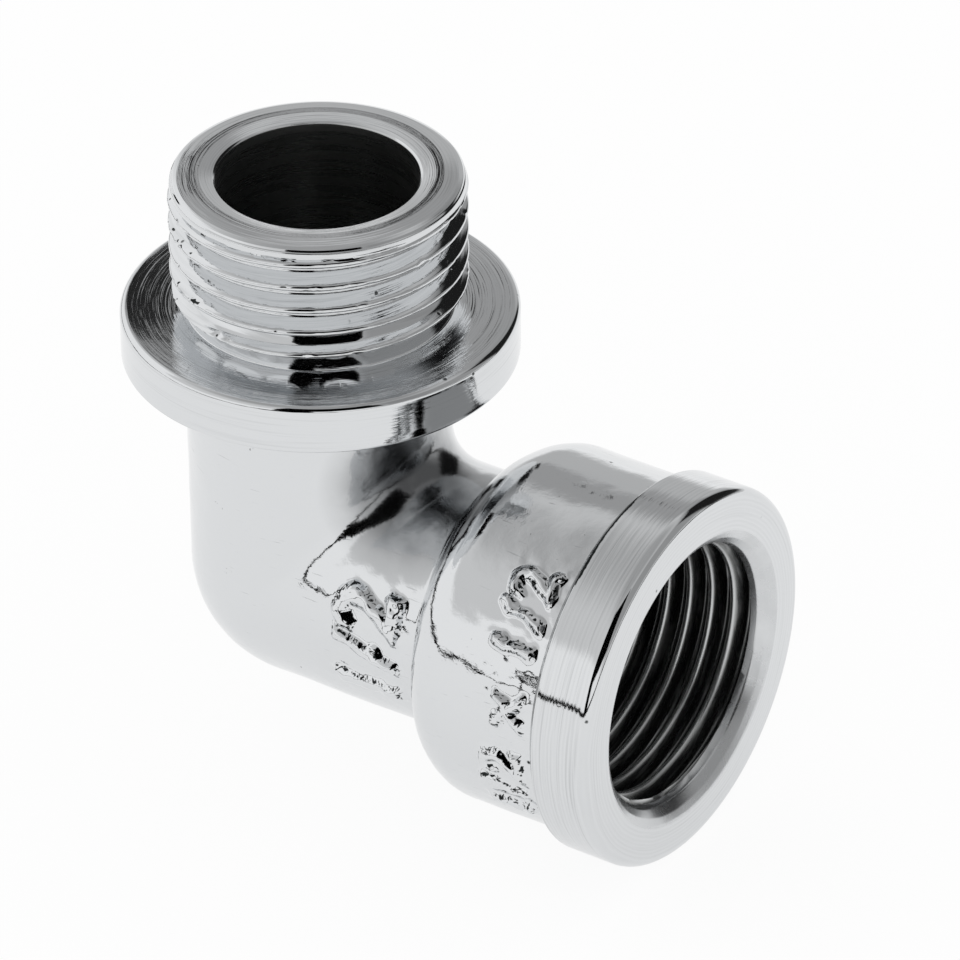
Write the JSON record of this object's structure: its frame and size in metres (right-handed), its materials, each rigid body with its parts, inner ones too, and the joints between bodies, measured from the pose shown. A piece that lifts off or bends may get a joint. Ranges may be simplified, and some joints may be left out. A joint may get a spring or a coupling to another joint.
{
  "type": "street elbow",
  "caption": "Chrome-plated brass 90 degree street elbow with a collared G 1/2 outside thread and a banded G 1/2 inside thread.",
  "frame": {"origin": "on the male axis, in the plane of the collar's upper face, where a sealing washer seats", "axes": "+Z along the male axis, out of the male end; +X along the female axis, out of the female mouth"},
  "size_m": [0.0453, 0.0282, 0.0449],
  "materials": {
    "chrome_plate": "polished chrome plate over cast and turned brass"
  },
  "bodies": {
    "root": {"elbow_body": "chrome_plate"}
  },
  "joints": []
}
